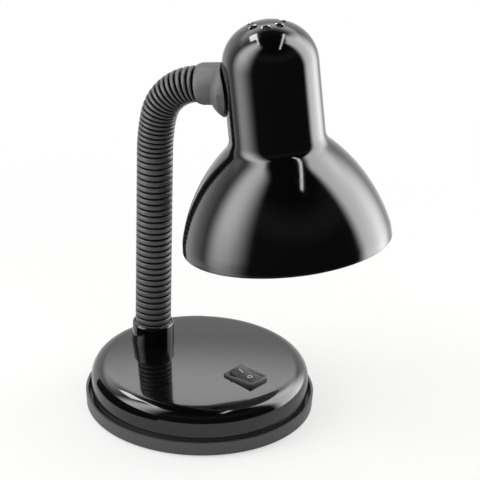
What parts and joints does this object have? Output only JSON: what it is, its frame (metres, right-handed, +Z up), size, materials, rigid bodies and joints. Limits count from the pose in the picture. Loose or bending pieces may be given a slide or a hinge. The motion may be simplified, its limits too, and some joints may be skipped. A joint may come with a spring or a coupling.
{
  "type": "desk lamp",
  "caption": "Gooseneck desk lamp: round weighted base with a rocker switch, ribbed flexible neck and a bell shade that swivels on a saddle cup.",
  "frame": {"origin": "centre of the underside of the foam pad, on the surface that the lamp stands on", "axes": "+Z up, +X from the neck socket to the rocker switch, +Y to the left of that"},
  "size_m": [0.1702, 0.1541, 0.2416],
  "materials": {
    "cover_plastic": "glossy black moulded ABS",
    "tray_plastic": "satin dark grey moulded ABS",
    "pad_foam": "black foam sheet",
    "screw_steel": "zinc plated steel",
    "ballast_iron": "cast iron, as cast",
    "grommet_rubber": "black rubber",
    "switch_plastic": "black moulded nylon",
    "rocker_plastic": "black moulded nylon with white marks for on and off",
    "switch_brass": "brass sheet",
    "block_plastic": "white moulded nylon",
    "wire_insulation": "brown PVC insulation",
    "fitting_steel": "zinc plated steel",
    "conduit_steel": "plain steel",
    "cable_sheath": "black flexible sheath",
    "sleeve_rubber": "matt grey ribbed vinyl",
    "collar_plastic": "matt grey moulded plastic",
    "shade_enamel": "glossy black stove enamel outside, white inside",
    "washer_plastic": "dark nylon",
    "bracket_steel": "zinc plated steel",
    "holder_plastic": "black heat resistant moulding",
    "insert_ceramic": "white glazed ceramic",
    "contact_brass": "brass sheet",
    "bulb_metal": "bright aluminium",
    "bulb_glass": "frosted glass"
  },
  "bodies": {
    "base": {"base_pad": "pad_foam", "base_tray": "tray_plastic", "base_screws": "screw_steel", "ballast_weight": "ballast_iron", "base_cover": "cover_plastic", "cord_grommet": "grommet_rubber", "switch_housing": "switch_plastic", "switch_terminals": "switch_brass", "terminal_block": "block_plastic", "block_screws": "screw_steel", "base_wires": "wire_insulation", "neck_ferrule": "fitting_steel", "ferrule_washer": "fitting_steel", "ferrule_nut": "fitting_steel", "lamp_cable": "cable_sheath", "neck_sleeve_1": "sleeve_rubber", "neck_conduit_1": "conduit_steel"},
    "rocker": {"switch_rocker": "rocker_plastic", "switch_plunger": "switch_brass"},
    "blade": {"switch_blade": "switch_brass"},
    "link_2": {"neck_sleeve_2": "sleeve_rubber", "neck_conduit_2": "conduit_steel"},
    "link_3": {"neck_sleeve_3": "sleeve_rubber", "neck_conduit_3": "conduit_steel"},
    "link_4": {"neck_sleeve_4": "sleeve_rubber", "neck_conduit_4": "conduit_steel"},
    "link_5": {"neck_sleeve_5": "sleeve_rubber", "neck_conduit_5": "conduit_steel"},
    "link_6": {"neck_sleeve_6": "sleeve_rubber", "neck_conduit_6": "conduit_steel"},
    "link_7": {"neck_sleeve_7": "sleeve_rubber", "neck_conduit_7": "conduit_steel"},
    "link_8": {"neck_sleeve_8": "sleeve_rubber", "neck_conduit_8": "conduit_steel"},
    "link_9": {"neck_sleeve_9": "sleeve_rubber", "neck_conduit_9": "conduit_steel"},
    "neck_end": {"neck_sleeve_10": "sleeve_rubber", "neck_conduit_10": "conduit_steel", "neck_collar": "collar_plastic", "swivel_nipple": "fitting_steel", "swivel_washer": "fitting_steel", "swivel_nut": "fitting_steel"},
    "head": {"shade": "shade_enamel", "saddle_washer": "washer_plastic", "lamp_bracket": "bracket_steel", "holder_skirt": "holder_plastic", "holder_cap": "holder_plastic", "holder_insert": "insert_ceramic", "holder_shell": "contact_brass", "holder_contact": "contact_brass", "holder_nipple": "fitting_steel", "holder_nut": "fitting_steel", "head_wires": "wire_insulation", "bulb_cap": "bulb_metal", "bulb_glass": "bulb_glass"}
  },
  "joints": [
    {"name": "neck_lean", "type": "hinge", "parent": "base", "child": "link_2", "pos_m": [-0.0372, 0, 0.06106], "axis": [-0.3907, 0.9205, 0], "range_deg": [-8, 5], "deforming": ["lamp_cable"]},
    {"name": "neck_sway", "type": "hinge", "parent": "link_2", "child": "link_3", "pos_m": [-0.0372, 0, 0.08374], "axis": [0.9205, 0.3907, 0], "range_deg": [-8, 8]},
    {"name": "neck_lean_2", "type": "hinge", "parent": "link_3", "child": "link_4", "pos_m": [-0.0372, 0, 0.10642], "axis": [-0.3907, 0.9205, 0], "range_deg": [-8, 5]},
    {"name": "neck_sway_2", "type": "hinge", "parent": "link_4", "child": "link_5", "pos_m": [-0.0372, 0, 0.1291], "axis": [0.9205, 0.3907, 0], "range_deg": [-8, 8]},
    {"name": "neck_lean_3", "type": "hinge", "parent": "link_5", "child": "link_6", "pos_m": [-0.0372, 0, 0.15178], "axis": [-0.3907, 0.9205, 0], "range_deg": [-8, 5]},
    {"name": "neck_curl", "type": "hinge", "parent": "link_6", "child": "link_7", "pos_m": [-0.0364, 0.00034, 0.16687], "axis": [-0.3907, 0.9205, 0], "range_deg": [-8.25, 0.75]},
    {"name": "neck_curl_2", "type": "hinge", "parent": "link_7", "child": "link_8", "pos_m": [-0.03463, 0.00109, 0.17803], "axis": [-0.3907, 0.9205, 0], "range_deg": [-11.01, 1.01]},
    {"name": "neck_curl_3", "type": "hinge", "parent": "link_8", "child": "link_9", "pos_m": [-0.02979, 0.00314, 0.188], "axis": [-0.3907, 0.9205, 0], "range_deg": [-11.01, 1.01]},
    {"name": "neck_curl_4", "type": "hinge", "parent": "link_9", "child": "neck_end", "pos_m": [-0.02179, 0.00654, 0.19516], "axis": [-0.3907, 0.9205, 0], "range_deg": [-11.01, 1.01]},
    {"name": "head_swivel", "type": "hinge", "parent": "neck_end", "child": "head", "pos_m": [-0.01291, 0.01031, 0.19828], "axis": [0.9109, 0.3866, 0.1444], "range_deg": [-12, 12]},
    {"name": "rocker_press", "type": "hinge", "parent": "base", "child": "rocker", "pos_m": [0.035, 0, 0.02888], "axis": [0, -1, 0], "range_deg": [0, 22]},
    {"name": "switch_contact", "type": "hinge", "parent": "base", "child": "blade", "pos_m": [0.035, 0, 0.02226], "axis": [0, 1, 0], "range_deg": [0, 16]}
  ],
  "couplings": [
    {"joint": "neck_lean_2", "follows": "neck_lean", "ratio": 1},
    {"joint": "neck_lean_3", "follows": "neck_lean", "ratio": 1},
    {"joint": "neck_sway_2", "follows": "neck_sway", "ratio": 1},
    {"joint": "neck_curl_2", "follows": "neck_curl", "ratio": 1.3333},
    {"joint": "neck_curl_3", "follows": "neck_curl", "ratio": 1.3333},
    {"joint": "neck_curl_4", "follows": "neck_curl", "ratio": 1.3333},
    {"joint": "switch_contact", "follows": "rocker_press", "ratio": 0.72727}
  ]
}
